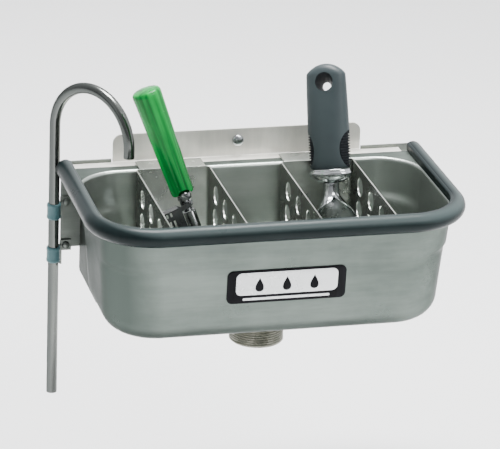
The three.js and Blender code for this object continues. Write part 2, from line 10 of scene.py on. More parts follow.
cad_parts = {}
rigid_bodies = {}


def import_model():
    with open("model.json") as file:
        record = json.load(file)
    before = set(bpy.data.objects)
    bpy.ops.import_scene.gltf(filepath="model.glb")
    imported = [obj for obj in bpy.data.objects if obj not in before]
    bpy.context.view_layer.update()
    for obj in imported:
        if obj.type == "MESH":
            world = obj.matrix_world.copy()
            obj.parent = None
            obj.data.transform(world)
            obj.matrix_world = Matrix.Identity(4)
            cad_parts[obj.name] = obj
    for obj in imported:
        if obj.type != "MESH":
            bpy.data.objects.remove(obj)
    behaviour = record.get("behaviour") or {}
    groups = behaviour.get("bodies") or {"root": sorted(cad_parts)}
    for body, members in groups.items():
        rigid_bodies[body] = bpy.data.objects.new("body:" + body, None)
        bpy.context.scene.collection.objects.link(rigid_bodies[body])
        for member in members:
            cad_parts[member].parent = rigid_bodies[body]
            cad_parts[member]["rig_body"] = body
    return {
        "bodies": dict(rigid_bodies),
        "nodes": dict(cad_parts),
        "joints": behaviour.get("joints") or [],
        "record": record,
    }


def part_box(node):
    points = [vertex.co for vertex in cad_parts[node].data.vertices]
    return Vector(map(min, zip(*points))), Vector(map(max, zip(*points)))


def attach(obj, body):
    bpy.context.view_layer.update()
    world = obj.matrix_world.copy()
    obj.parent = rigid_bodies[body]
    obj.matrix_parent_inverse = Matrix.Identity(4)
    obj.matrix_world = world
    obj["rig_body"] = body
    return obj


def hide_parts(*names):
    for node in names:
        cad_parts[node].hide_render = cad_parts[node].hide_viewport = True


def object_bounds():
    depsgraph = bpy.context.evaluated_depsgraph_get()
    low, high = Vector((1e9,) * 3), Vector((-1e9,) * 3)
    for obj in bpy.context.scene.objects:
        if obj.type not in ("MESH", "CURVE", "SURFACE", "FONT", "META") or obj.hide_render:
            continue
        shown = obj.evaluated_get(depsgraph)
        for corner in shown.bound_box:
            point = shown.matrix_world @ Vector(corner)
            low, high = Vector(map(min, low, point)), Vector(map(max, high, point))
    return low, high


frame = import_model()
CAD_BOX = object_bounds()

# Driving dimensions, in millimetres unless a name says otherwise.
MM = 0.001
WELL_LOW, WELL_HIGH = (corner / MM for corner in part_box("basin"))
PAN_Y = (WELL_LOW.y + WELL_HIGH.y) / 2
FLANGE_X = WELL_HIGH.x
FLANGE_Y = (WELL_HIGH.y - WELL_LOW.y) / 2
OPENING_X, OPENING_Y = 153.0, 76.5
WALL = 1.0
DEPTH = 102.0
DRAFT = math.radians(4)
FLOOR_FILLET = 19.0
DRAIN_Y = 14.0
PLATE_PITCH = 65.4
TUBE_X = -166.6
DISHER = Matrix.Translation((-76, PAN_Y - 12, 10.4))
DISHER = DISHER @ Matrix.Rotation(math.radians(-7.5), 4, "X") @ Matrix.Rotation(math.radians(-19.5), 4, "Y")
SCOOP = Matrix.Translation((73.7, PAN_Y + 55.8, -5.1))
SCOOP = SCOOP @ Matrix.Rotation(math.radians(-20), 4, "X") @ Matrix.Rotation(math.radians(-31), 4, "Z")
PAN = Matrix.Translation((0, PAN_Y, 0))
DRAIN = Matrix.Translation((0, PAN_Y + DRAIN_Y, 0))
HERE = Matrix.Identity(4)


# ------------------------------------------------------------------ camera
def make_camera():
    """A long lens, above the basin and a little to its left."""
    azimuth, elevation, roll = (math.radians(a) for a in (-14.8, 21.65, 2.18))
    level_right = Vector((math.cos(azimuth), math.sin(azimuth), 0))
    back = Vector((math.sin(azimuth), -math.cos(azimuth), math.tan(elevation))).normalized()
    level_up = back.cross(level_right)
    right = math.cos(roll) * level_right + math.sin(roll) * level_up
    up = back.cross(right)
    place = Vector((0, PAN_Y, 0)) - 13.51 * right - 25.33 * up + 2700.8 * back
    data = bpy.data.cameras.new("camera")
    data.sensor_width = 36
    data.lens = 225.7
    camera = bpy.data.objects.new("camera", data)
    camera.matrix_world = Matrix((right, up, back)).transposed().to_4x4()
    camera.matrix_world.translation = place * MM
    bpy.context.scene.collection.objects.link(camera)
    bpy.context.scene.camera = camera


make_camera()


# ------------------------------------------------------------------ node helpers
class Nodes:
    """A small builder for one material's nodes."""

    def __init__(self, name, **sockets):
        self.material = bpy.data.materials.new(name)
        self.material.use_nodes = True
        self.tree = self.material.node_tree
        self.shader = self.tree.nodes["Principled BSDF"]
        for socket, value in sockets.items():
            self.shader.inputs[socket.replace("_", " ")].default_value = value
        self.where = self.tree.nodes.new("ShaderNodeTexCoord").outputs["Object"]

    def lean(self, frame):
        """Turns the pattern so that its Z runs along a leaning part."""
        turn = self.tree.nodes.new("ShaderNodeMapping")
        turn.inputs["Rotation"].default_value = frame.to_3x3().inverted().to_euler()
        self.link(self.where, turn.inputs["Vector"])
        self.where = turn.outputs["Vector"]

    def link(self, source, target):
        self.tree.links.new(source, target)

    def noise(self, scale, stretch=(1, 1, 1), detail=4.0, rough=0.55):
        mapping = self.tree.nodes.new("ShaderNodeMapping")
        mapping.inputs["Scale"].default_value = stretch
        self.link(self.where, mapping.inputs["Vector"])
        node = self.tree.nodes.new("ShaderNodeTexNoise")
        node.inputs["Scale"].default_value = scale
        node.inputs["Detail"].default_value = detail
        node.inputs["Roughness"].default_value = rough
        self.link(mapping.outputs["Vector"], node.inputs["Vector"])
        return node.outputs["Fac"]

    def ramp(self, source, low, high, start=0.3, end=0.7):
        node = self.tree.nodes.new("ShaderNodeMapRange")
        node.inputs["From Min"].default_value = start
        node.inputs["From Max"].default_value = end
        node.inputs["To Min"].default_value = low
        node.inputs["To Max"].default_value = high
        self.link(source, node.inputs["Value"])
        return node.outputs["Result"]

    def blend(self, factor, first, second):
        node = self.tree.nodes.new("ShaderNodeMix")
        node.data_type = "RGBA"
        for socket, colour in (("A", first), ("B", second)):
            target = next(s for s in node.inputs if s.name == socket and s.type == "RGBA")
            if isinstance(colour, tuple):
                target.default_value = (*colour, 1)
            else:
                self.link(colour, target)
        self.link(factor, node.inputs["Factor"])
        return next(s for s in node.outputs if s.type == "RGBA")

    def combine(self, kind, first, second):
        node = self.tree.nodes.new("ShaderNodeMath")
        node.operation = kind
        for socket, value in zip(node.inputs, (first, second)):
            if isinstance(value, (int, float)):
                socket.default_value = value
            else:
                self.link(value, socket)
        return node.outputs["Value"]

    def bump(self, height, distance, strength=0.5):
        node = self.tree.nodes.new("ShaderNodeBump")
        node.inputs["Distance"].default_value = distance
        node.inputs["Strength"].default_value = strength
        self.link(height, node.inputs["Height"])
        self.link(node.outputs["Normal"], self.shader.inputs["Normal"])

    def facing_in(self, centre):
        """One where a surface faces a point, zero where it faces away."""
        offset = self.tree.nodes.new("ShaderNodeVectorMath")
        offset.operation = "SUBTRACT"
        offset.inputs[1].default_value = centre
        self.link(self.where, offset.inputs[0])
        dot = self.tree.nodes.new("ShaderNodeVectorMath")
        dot.operation = "DOT_PRODUCT"
        self.link(offset.outputs["Vector"], dot.inputs[0])
        geometry = self.tree.nodes.new("ShaderNodeNewGeometry")
        self.link(geometry.outputs["Normal"], dot.inputs[1])
        return self.ramp(dot.outputs["Value"], 1, 0, -0.006, 0.006)

    def facing(self, direction, low, high):
        """Runs from low on surfaces square to a direction to high on surfaces that face it."""
        geometry = self.tree.nodes.new("ShaderNodeNewGeometry")
        dot = self.tree.nodes.new("ShaderNodeVectorMath")
        dot.operation = "DOT_PRODUCT"
        dot.inputs[1].default_value = direction
        self.link(geometry.outputs["Normal"], dot.inputs[0])
        return self.ramp(dot.outputs["Value"], low, high, 0, 1)

    def edges(self, low=0.52, high=0.62):
        geometry = self.tree.nodes.new("ShaderNodeNewGeometry")
        return self.ramp(geometry.outputs["Pointiness"], 0, 1, low, high)


# ------------------------------------------------------------------ materials
def brushed_steel(name, dark, light, grain, roughness=0.3, lines=0.00003, metal=0.9):
    """Stainless sheet: fine lines along the polish, cloudy smears, water marks and painted shade on surfaces
    that face left.
    """
    n = Nodes(name, Metallic=metal, Specular_Tint=EDGE_TINT)
    fine = n.noise(60, grain, detail=6, rough=0.65)
    clouds = n.noise(9, detail=5, rough=0.6)
    spots = n.noise(140, detail=2)
    tone = n.combine("ADD", n.combine("MULTIPLY", fine, 0.45), n.combine("MULTIPLY", clouds, 0.55))
    # Painted shade: the tone darkens on surfaces that face left (-X).
    shade = n.combine("MULTIPLY", n.ramp(tone, 0.3, 1, 0.38, 0.62), n.facing(SHADED_SIDE, 1, -0.6))
    n.link(n.blend(shade, dark, light), n.shader.inputs["Base Color"])
    smear = n.ramp(clouds, roughness - 0.06, roughness + 0.09)
    speck = n.ramp(spots, 0, 0.05, 0.6, 0.75)
    n.link(n.combine("ADD", smear, speck), n.shader.inputs["Roughness"])
    n.bump(fine, lines, 0.6)
    return n, shade


def pan_steel():
    """Drawn steel painted brighter inside the basin than on its outside: a lit copy and a shaded copy of one
    finish.
    """
    n, shade = brushed_steel("pan_steel", *SHADED_OUTSIDE_STEEL, (0.12, 1, 1), 0.31, metal=0.86)
    outside = n.blend(shade, *SHADED_OUTSIDE_STEEL)
    inside = n.blend(shade, *LIT_INSIDE_STEEL)
    # Painted light: faces that look into the basin take the lit copy, the others the shaded copy.
    n.link(n.blend(n.facing_in((0, PAN_Y * MM, -0.03)), outside, inside), n.shader.inputs["Base Color"])
    return n.material


def polished_steel(name, dark, light, roughness=0.08):
    """Bright plated or polished metal with faint cloudiness and hairline scratches."""
    n = Nodes(name, Metallic=1.0)
    haze = n.noise(55, detail=5)
    scratch = n.noise(300, (1, 1, 0.06), detail=3)
    n.link(n.blend(n.ramp(haze, 0, 1), dark, light), n.shader.inputs["Base Color"])
    smear = n.ramp(haze, roughness * 0.7, roughness * 1.6)
    gloss = n.combine("ADD", smear, n.ramp(scratch, 0, 0.07, 0.55, 0.8))
    n.link(gloss, n.shader.inputs["Roughness"])
    n.bump(scratch, 0.00001, 0.25)
    return n.material


def soft_vinyl(name, dark, light, roughness=0.36, grain=700, shine=0.5, painted_highlight=None):
    """Soft plastic with a fine pebble and dulled, lighter edges, and if asked a painted highlight on surfaces
    that face up, forward and to the right.
    """
    n = Nodes(name, Specular_IOR_Level=shine)
    pebble = n.noise(grain, detail=3)
    clouds = n.noise(14, detail=4)
    worn = n.combine("MAXIMUM", n.ramp(clouds, 0, 0.7), n.edges())
    colour = n.blend(worn, dark, light)
    if painted_highlight:
        # Painted highlight: surfaces facing up, forward and to the right turn lighter.
        colour = n.blend(n.facing(HIGHLIGHT_SIDE, -2.0, 1.0), colour, painted_highlight)
    n.link(colour, n.shader.inputs["Base Color"])
    n.link(n.ramp(clouds, roughness - 0.06, roughness + 0.1), n.shader.inputs["Roughness"])
    n.bump(pebble, 0.00006, 0.35)
    return n.material


def gloss_plastic(name, dark, light, roughness=0.16, frame=HERE, shine=0.5):
    """Hard glossy moulding with streaky pigment along its length and fine scuffs."""
    n = Nodes(name, Specular_IOR_Level=shine)
    n.lean(frame)
    streaks = n.noise(160, (1, 1, 0.03), detail=5)
    scuffs = n.noise(420, (1, 1, 0.3), detail=3)
    clouds = n.noise(25, detail=3)
    tone = n.combine("ADD", n.combine("MULTIPLY", streaks, 0.8), n.combine("MULTIPLY", clouds, 0.2))
    n.link(n.blend(n.ramp(tone, 0, 1, 0.4, 0.6), dark, light), n.shader.inputs["Base Color"])
    rough = n.combine("ADD", n.ramp(clouds, roughness, roughness + 0.1), n.ramp(scuffs, 0, 0.12, 0.58, 0.75))
    n.link(rough, n.shader.inputs["Roughness"])
    n.bump(scuffs, 0.00003, 0.2)
    return n.material


def cast_metal(name, dark, light):
    """Dull plated brass with a sandy skin, darker in its hollows."""
    n = Nodes(name, Metallic=0.9)
    grain = n.noise(500, detail=4)
    clouds = n.noise(40, detail=5)
    wear = n.combine("MAXIMUM", n.ramp(clouds, 0, 0.8), n.edges(0.5, 0.56))
    n.link(n.blend(wear, dark, light), n.shader.inputs["Base Color"])
    n.link(n.ramp(clouds, 0.34, 0.55), n.shader.inputs["Roughness"])
    n.bump(grain, 0.00008, 0.4)
    return n.material


# Direction of the painted shade on brushed steel: surfaces facing -X are drawn darker.
SHADED_SIDE = (-1, 0, 0)
EDGE_TINT = (0.4, 0.4, 0.4, 1)
# One steel in two copies: a darker outside with painted shade and a brighter inside with painted light.
SHADED_OUTSIDE_STEEL = (0.06, 0.075, 0.067), (0.162, 0.19, 0.172)
LIT_INSIDE_STEEL = (0.3, 0.335, 0.31), (0.46, 0.5, 0.465)
PAN_STEEL = pan_steel()


def sheet_steel(name, dark, light, grain, roughness, metal=0.9, lines=0.00003):
    return brushed_steel(name, dark, light, grain, roughness, lines, metal)[0].material


HANGER_STEEL = sheet_steel("hanger_steel", (0.56, 0.56, 0.52), (0.9, 0.88, 0.82), (1, 1, 0.12), 0.4, 0.6)
PLATE_STEEL = sheet_steel("plate_steel", (0.08, 0.092, 0.084), (0.21, 0.23, 0.207), (0.1, 1, 1), 0.36)
DIVIDER_STEEL = sheet_steel("divider_steel", (0.38, 0.4, 0.37), (0.7, 0.73, 0.68), (1, 0.1, 1), 0.26, 0.9)
TUBE_STEEL = sheet_steel("tube_steel", (0.085, 0.092, 0.088), (0.19, 0.198, 0.187),
                         (1, 1, 0.08), 0.18, 0.95, 0.00002)
SPADE_STEEL = polished_steel("spade_steel", (0.26, 0.28, 0.28), (0.4, 0.42, 0.42), 0.22)
CHROME = polished_steel("chrome", (0.4, 0.42, 0.43), (0.6, 0.62, 0.63), 0.1)
TOOL_STEEL = polished_steel("tool_steel", (0.17, 0.175, 0.175), (0.33, 0.34, 0.34), 0.16)
LEVER_STEEL = polished_steel("lever_steel", (0.05, 0.053, 0.054), (0.12, 0.124, 0.126), 0.26)
DRAIN_METAL = cast_metal("drain_metal", (0.13, 0.13, 0.104), (0.34, 0.335, 0.28))
# Direction of the bumper's painted highlight: up, forward and to the right.
HIGHLIGHT_SIDE = (0.35, -0.55, 0.76)
BUMPER_VINYL = soft_vinyl("bumper_vinyl", (0.003, 0.007, 0.0075), (0.01, 0.018, 0.0185), 0.3, 700, 0.12,
                          painted_highlight=(0.05, 0.067, 0.067))
CUSHION_VINYL = soft_vinyl("cushion_vinyl", (0.045, 0.115, 0.127), (0.09, 0.175, 0.19), 0.4, 700, 0.3)
BLACK_RUBBER = soft_vinyl("black_rubber", (0.012, 0.012, 0.013), (0.03, 0.03, 0.032), 0.5)
GRIP_RUBBER = soft_vinyl("grip_rubber", (0.021, 0.031, 0.034), (0.045, 0.061, 0.065), 0.44, 1100, 0.35)
FIN_RUBBER = soft_vinyl("fin_rubber", (0.003, 0.004, 0.006), (0.012, 0.015, 0.018), 0.55, 700, 0.15)
GREEN = gloss_plastic("green_plastic", (0.0002, 0.1, 0.016), (0.002, 0.3, 0.05), 0.14, DISHER, 0.16)
BADGE_BLACK = gloss_plastic("badge_black", (0.002, 0.002, 0.003), (0.006, 0.006, 0.008), 0.35, HERE, 0.08)
BADGE_SILVER = sheet_steel("badge_silver", (0.66, 0.68, 0.68), (0.84, 0.86, 0.86), (0.08, 1, 1), 0.3, 0.35)


# ------------------------------------------------------------------ mesh helpers
def make(name, mesh, material, body, nodes, at=HERE, sharp=35.0):
    """Links a mesh drawn in millimetres as a finished piece that stands for CAD nodes."""
    mesh.transform(Matrix.Scale(MM, 4) @ at)
    mesh.materials.clear()
    mesh.materials.append(material)
    for face in mesh.polygons:
        face.use_smooth = True
    mesh.set_sharp_from_angle(angle=math.radians(sharp))
    piece = bpy.data.objects.new(name, mesh)
    bpy.context.scene.collection.objects.link(piece)
    if nodes:
        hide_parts(*nodes)
    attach(piece, body)
    return piece


def modifier(piece, kind, **settings):
    made = piece.modifiers.new(kind.lower(), kind)
    for key, value in settings.items():
        setattr(made, key, value)
    return made


def grid(rows, closed=True, caps=False):
    """Quads between equal-length rows of points; closed joins each row's ends, caps fill the ends."""
    mesh = bpy.data.meshes.new("grid")
    count = len(rows[0])
    faces = []
    for level in range(len(rows) - 1):
        for i in range(count if closed else count - 1):
            a, b = level * count + i, level * count + (i + 1) % count
            faces.append((a, b, b + count, a + count))
    if caps:
        faces.append(tuple(reversed(range(count))))
        faces.append(tuple(range((len(rows) - 1) * count, len(rows) * count)))
    mesh.from_pydata([tuple(p) for row in rows for p in row], [], faces)
    return fix_normals(mesh)


def fix_normals(mesh):
    bm = bmesh.new()
    bm.from_mesh(mesh)
    bmesh.ops.remove_doubles(bm, verts=bm.verts, dist=1e-5)
    bmesh.ops.recalc_face_normals(bm, faces=bm.faces)
    bm.to_mesh(mesh)
    bm.free()
    return mesh


def joined(*meshes):
    bm = bmesh.new()
    for mesh in meshes:
        bm.from_mesh(mesh)
    whole = bpy.data.meshes.new("joined")
    bm.to_mesh(whole)
    bm.free()
    return whole


def lathe(profile, sides=64, closed=True):
    """A body of revolution about Z from (radius, z) points; closed joins the profile's ends."""
    points = list(profile) + ([profile[0]] if closed else [])
    rows = [ring_points(radius, radius, z, sides) for radius, z in points]
    return grid(rows)


def ring_points(a, b, z, sides=64, power=2.0, centre=(0, 0)):
    """An ellipse, or a squarer super-ellipse when power is above 2."""
    points = []
    for i in range(sides):
        angle = 2 * math.pi * i / sides
        c, s = math.cos(angle), math.sin(angle)
        x = math.copysign(abs(c) ** (2 / power), c) * a + centre[0]
        y = math.copysign(abs(s) ** (2 / power), s) * b + centre[1]
        points.append(Vector((x, y, z)))
    return points


def rounded_rect(half_x, half_y, front, back, z, arc=20, straight=10):
    """A rectangle's outline with one corner radius at its front corners and one at its back corners."""
    corners = [(-1, -1, front), (1, -1, front), (1, 1, back), (-1, 1, back)]
    points = []
    for k, (sx, sy, r) in enumerate(corners):
        centre = Vector((sx * (half_x - r), sy * (half_y - r), z))
        start = math.pi + k * math.pi / 2
        for i in range(arc + 1):
            angle = start + math.pi / 2 * i / arc
            points.append(centre + Vector((r * math.cos(angle), r * math.sin(angle), 0)))
        nx, ny, nr = corners[(k + 1) % 4]
        ahead = Vector((nx * (half_x - nr), ny * (half_y - nr), z))
        end = start + math.pi / 2
        ahead += nr * Vector((math.cos(end), math.sin(end), 0))
        last = points[-1].copy()
        points += [last.lerp(ahead, i / straight) for i in range(1, straight)]
    return points


def sweep(section, stations):
    """Moves a closed (inward, up) section along stations of (point, inward, up, scale)."""
    rows = []
    for point, inward, up, scale in stations:
        rows.append([point + scale * u * inward + scale * v * up for u, v in section])
    return grid(rows, caps=True)


def arc_points(cx, cy, radius, start, end, steps):
    turn = [math.radians(start + (end - start) * i / steps) for i in range(steps + 1)]
    return [(cx + radius * math.cos(a), cy + radius * math.sin(a)) for a in turn]


def refined(name, node, material, bevel=0.35, segments=2, sharp=35.0):
    """A copy of a CAD node's sheet or machined shape with its edges broken, standing for that node."""
    mesh = frame["nodes"][node].data.copy()
    bm = bmesh.new()
    bm.from_mesh(mesh)
    bmesh.ops.remove_doubles(bm, verts=bm.verts, dist=1e-6)
    bmesh.ops.dissolve_limit(bm, angle_limit=math.radians(1), verts=bm.verts, edges=bm.edges)
    bm.to_mesh(mesh)
    bm.free()
    mesh.transform(Matrix.Scale(1 / MM, 4))
    body = frame["nodes"][node]["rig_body"]
    piece = make(name, mesh, material, body, [node], sharp=sharp)
    modifier(piece, "BEVEL", width=bevel * MM, segments=segments, limit_method="ANGLE", harden_normals=True)
    return piece


# ------------------------------------------------------------------ basin
def smooth_step(value, low, high):
    t = min(1.0, max(0.0, (value - low) / (high - low)))
    return t * t * (3 - 2 * t)


RIM_RADIUS, LOWER_RADIUS = 39.0, 45.0


def basin_ring(z, inset):
    """The inside outline at a height: only its corners step in below the stacking shoulder."""
    step = smooth_step(-z, 31, 38)
    radius = RIM_RADIUS + (LOWER_RADIUS - RIM_RADIUS) * step - max(0.0, inset - 5.6)
    return rounded_rect(OPENING_X - inset, OPENING_Y - inset, radius, radius, z)


def flange_ring(grow, z):
    return rounded_rect(FLANGE_X - grow, FLANGE_Y - grow, 53.5 - grow, 4 - min(grow, 2), z)


def basin():
    rows = [flange_ring(0.1, 0), flange_ring(2.5, 0)]
    roll = 3.0
    for i in range(7):
        angle = math.pi / 2 * i / 6
        inset = -roll * (1 - math.sin(angle))
        radius = RIM_RADIUS - inset
        z = -roll * (1 - math.cos(angle))
        rows.append(rounded_rect(OPENING_X - inset, OPENING_Y - inset, radius, radius, z))
    knee = -(DEPTH - FLOOR_FILLET)
    for i in range(1, 31):
        z = -roll + (knee + roll) * i / 30
        rows.append(basin_ring(z, -(z + roll) * math.tan(DRAFT)))
    inset_at_knee = -(knee + roll) * math.tan(DRAFT)
    for i in range(1, 13):
        angle = math.radians(86) * i / 12 + DRAFT * i / 12
        inset = inset_at_knee + FLOOR_FILLET * (1 - math.cos(angle))
        rows.append(basin_ring(knee - FLOOR_FILLET * math.sin(angle), inset))
    edge = rows[-1]
    drain = Vector((0, DRAIN_Y, -DEPTH))
    for share in (0.25, 0.5, 0.75, 0.92, 1.0):
        ring = []
        for point in edge:
            away = (point - drain)
            away.z = 0
            rim = drain + away.normalized() * 25
            ring.append(point.lerp(rim, share))
        rows.append(ring)
    piece = make("basin_shell", grid(rows), PAN_STEEL, "well", ["basin"], PAN, 60)
    modifier(piece, "SOLIDIFY", thickness=WALL * MM, offset=-1.0)
    modifier(piece, "BEVEL", width=0.25 * MM, segments=2, limit_method="ANGLE", angle_limit=math.radians(60))
    return piece


# ------------------------------------------------------------------ bumper
def bumper_section():
    """A round bead, a fine groove inside its crown and a lip on the flange, as (inward, up) points."""
    bead = arc_points(0, 0, 8.3, -70, -290, 40)
    groove = [(3.0, 7.45), (3.25, 7.3), (3.5, 7.3)]
    lip = arc_points(3.3, 5.2, 2.05, 75, 5, 8)
    return bead + groove + lip + [(5.3, 3.0), (5.3, 0.1), (3.1, -0.4), (3.1, -6.6)]


BUMPER_CORNER = 49.5
END_ROUNDING = ((0.0, 0.6), (0.35, 0.78), (1.0, 0.9), (2.2, 0.97), (4.0, 1.0))  # distance from the end, scale


def bumper():
    low, high = (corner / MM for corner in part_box("rim_bumper"))
    radius = (high.z - low.z) / 2
    x, front, back = high.x - radius, low.y + radius, high.y
    z = (high.z + low.z) / 2
    up = Vector((0, 0, 1))
    turn_y = front + BUMPER_CORNER
    ends = [(back - away, scale) for away, scale in END_ROUNDING]
    ends += [(back + (turn_y - back) * step / 8, 1.0) for step in range(1, 8)]
    stations = [(Vector((-x, y, z)), Vector((1, 0, 0)), up, scale) for y, scale in ends]
    for side, start in ((-1, math.pi), (1, 1.5 * math.pi)):
        centre = Vector((side * (x - BUMPER_CORNER), turn_y, z))
        for i in range(33):
            angle = start + math.pi / 2 * i / 32
            out = Vector((math.cos(angle), math.sin(angle), 0))
            stations.append((centre + BUMPER_CORNER * out, -out, up, 1.0))
        if side < 0:
            span = 2 * (x - BUMPER_CORNER)
            for i in range(1, 12):
                point = Vector((BUMPER_CORNER - x + span * i / 12, front, z))
                stations.append((point, Vector((0, 1, 0)), up, 1.0))
    stations += [(Vector((x, y, z)), Vector((-1, 0, 0)), up, scale) for y, scale in reversed(ends)]
    skin = sweep(bumper_section(), stations)
    make("edge_bumper", skin, BUMPER_VINYL, "well", ["rim_bumper"], sharp=50)


# ------------------------------------------------------------------ bracket, screws and badge
def bracket():
    refined("hanger_bracket_sheet", "hanger_bracket", HANGER_STEEL)
    for name in ("back_plate", "gusset_left", "gusset_right"):
        refined(name + "_sheet", name, PLATE_STEEL)
    for name in ("clip_strap_upper", "clip_strap_lower"):
        refined(name + "_sheet", name, PLATE_STEEL, 0.3)


def cross_screw(name, node, reach, material):
    """A dome head with a cross recess on a short shank, pointing out of the wall."""
    low, high = (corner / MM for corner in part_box(node))
    radius = (high.x - low.x) / 2
    rise = (high.y - low.y) - reach
    dome = [(radius * math.sin(a), -rise * (1 - 0.62 * (1 - math.cos(a)))) for a in
            (math.pi / 2 * i / 14 for i in range(15))]
    shank = radius * 0.45
    profile = [(0.001, -rise)] + dome[1:] + [(radius, 0), (shank, 0), (shank, reach), (0.001, reach)]
    head = lathe(profile, 48, closed=False)
    place = Matrix.Translation(((low.x + high.x) / 2, high.y - reach, (low.z + high.z) / 2))
    turn = Matrix.Rotation(math.radians(-90), 4, "X")
    piece = make(name, head, material, "well", [node], place @ turn, 40)
    cutters = bpy.data.meshes.new("cross")
    bm = bmesh.new()
    for quarter in (20, 110):
        heading = Matrix.Rotation(math.radians(quarter), 4, "Z")
        arm = heading @ Matrix.Diagonal((radius * 1.1, radius * 0.2, rise * 0.9, 1))
        bmesh.ops.create_cube(bm, size=1, matrix=Matrix.Translation((0, 0, -rise)) @ arm)
    bm.to_mesh(cutters)
    bm.free()
    cutters.transform(Matrix.Scale(MM, 4) @ place @ turn)
    cut_with(piece, cutters)
    return piece


def cut_with(piece, mesh):
    """Cuts a mesh in metres out of a piece; the cut faces take the mesh's material, if it has one."""
    tool = bpy.data.objects.new("tool", mesh)
    bpy.context.scene.collection.objects.link(tool)
    modifier(piece, "BOOLEAN", object=tool, operation="DIFFERENCE", solver="EXACT", material_mode="TRANSFER")
    bake(piece)
    bpy.data.objects.remove(tool)


def bake(piece):
    """Applies a piece's modifiers."""
    depsgraph = bpy.context.evaluated_depsgraph_get()
    mesh = bpy.data.meshes.new_from_object(piece.evaluated_get(depsgraph))
    piece.modifiers.clear()
    piece.data = mesh


def outline_plate(points_list, thickness, edge=0.25):
    """A flat plate in X and Z from closed outlines (the first is the edge, the rest are holes)."""
    curve = bpy.data.curves.new("outline", "CURVE")
    curve.dimensions = "2D"
    curve.fill_mode = "BOTH"
    curve.extrude = thickness / 2 - edge
    curve.bevel_depth = edge
    curve.bevel_resolution = 2
    curve.offset = -edge
    for points in points_list:
        spline = curve.splines.new("POLY")
        spline.points.add(len(points) - 1)
        for target, (x, z) in zip(spline.points, points):
            target.co = (x, z, 0, 1)
        spline.use_cyclic_u = True
    holder = bpy.data.objects.new("outline", curve)
    bpy.context.scene.collection.objects.link(holder)
    bpy.context.view_layer.update()
    mesh = bpy.data.meshes.new_from_object(holder.evaluated_get(bpy.context.evaluated_depsgraph_get()))
    bpy.data.objects.remove(holder)
    mesh.transform(Matrix.Rotation(math.radians(90), 4, "X"))
    return fix_normals(mesh)


def flat_rounded(x0, x1, z0, z1, radius, steps=10):
    points = []
    for cx, cz, start in ((x1 - radius, z0 + radius, -90), (x1 - radius, z1 - radius, 0),
                          (x0 + radius, z1 - radius, 90), (x0 + radius, z0 + radius, 180)):
        points += arc_points(cx, cz, radius, start, start + 90, steps)
    return points


def drop_outline(x, z, size):
    """A plain water drop: a round bottom that narrows to a point."""
    points = []
    for i in range(36):
        angle = 2 * math.pi * i / 36
        pinch = math.sin(angle / 2) ** 1.5
        points.append((x + size * math.sin(angle) * pinch * 0.8, z + size * math.cos(angle)))
    return points


def badge():
    """A label plate with three plain water drops over a plain line, in place of any mark."""
    hinge = Matrix.Translation((1.5, PAN_Y - OPENING_Y - WALL, 0)) @ Matrix.Rotation(DRAFT, 4, "X")
    plate = [flat_rounded(-52, 52, -68, -37.5, 5)]
    inlay = [flat_rounded(-44.5, 44.5, -60.2, -39.2, 5)]
    drops = [drop_outline(x, -50.6, 6.6) for x in (-24, 0, 24)]
    line = [flat_rounded(-38, 38, -65.3, -63.0, 1)]
    # Each layer's name, outlines, thickness, edge radius, distance out, material and slot.
    layers = (("badge_frame", plate, 0.9, 0.3, 0.75, BADGE_BLACK, "badge_plate"),
              ("badge_inlay", inlay, 0.4, 0.12, 1.7, BADGE_SILVER, "badge_panel"),
              ("badge_drops", drops, 0.2, 0.06, 1.96, BADGE_BLACK, "badge_plate"),
              ("badge_line", line, 0.3, 0.1, 1.3, BADGE_SILVER, "badge_panel"))
    for name, outlines, thick, edge, out, material, slot in layers:
        sheets = joined(*(outline_plate([outline], thick, edge) for outline in outlines))
        nodes = [slot] if name in ("badge_frame", "badge_inlay") else []
        make(name, sheets, material, "well", nodes, hinge @ Matrix.Translation((0, -out, 0)))


# ------------------------------------------------------------------ tube and clips
def tube_skin(path, radius, side):
    """Rings about each (point, outward normal) of a path."""
    turn = [2 * math.pi * i / 40 for i in range(40)]
    return [[p + radius * (math.cos(a) * n + math.sin(a) * side) for a in turn] for p, n in path]


def water_tube():
    """A bent tube with an open bore: riser, half-round gooseneck and a short spout."""
    low, high = (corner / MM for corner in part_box("water_tube"))
    radius, bore, arch = 4.75, 3.9, 43.9
    axis = Vector((TUBE_X, high.y - radius, 0))
    heading = Matrix.Rotation(math.radians(-54.5), 3, "Z") @ Vector((1, 0, 0))
    side = heading.cross(Vector((0, 0, 1)))
    centre_z, tip = 38.2, 31
    path = [(axis + Vector((0, 0, z)), heading) for z in (low.z, low.z + 1, -150, -100, -50, 0, centre_z - 1)]
    for i in range(49):
        angle = math.pi * i / 48
        out = -math.cos(angle) * heading + math.sin(angle) * Vector((0, 0, 1))
        path.append((axis + arch * heading + Vector((0, 0, centre_z)) + arch * out, -out))
    end = axis + 2 * arch * heading
    path += [(end + Vector((0, 0, z)), -heading) for z in (tip + 1, tip)]
    inner = tube_skin(path, bore, side)
    rows = tube_skin(path, radius, side) + list(reversed(inner))
    mesh = grid(rows + [rows[0]])
    piece = make("gooseneck", mesh, TUBE_STEEL, "well", ["water_tube"])
    modifier(piece, "BEVEL", width=0.25 * MM, segments=2, limit_method="ANGLE", angle_limit=math.radians(60))


def cushions():
    """Soft vinyl sleeves with rolled ends and two shallow bands."""
    for level in ("upper", "lower"):
        low, high = (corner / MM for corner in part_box(f"clip_cushion_{level}"))
        centre = (low + high) / 2
        half = (high.z - low.z) / 2
        outside = []
        for i in range(25):
            t = -1 + 2 * i / 24
            rounding = 0.9 * max(0.0, abs(t) - 0.8) / 0.2
            band = 0.25 * (1 if abs(t) < 0.55 else 0)
            outside.append((6.25 - rounding ** 2 - band, t * half))
        profile = [(4.95, -half)] + outside + [(4.95, half)]
        at = Matrix.Translation(centre)
        node = f"clip_cushion_{level}"
        make(f"sleeve_{level}", lathe(profile, 48), CUSHION_VINYL, "well", [node], at, 50)


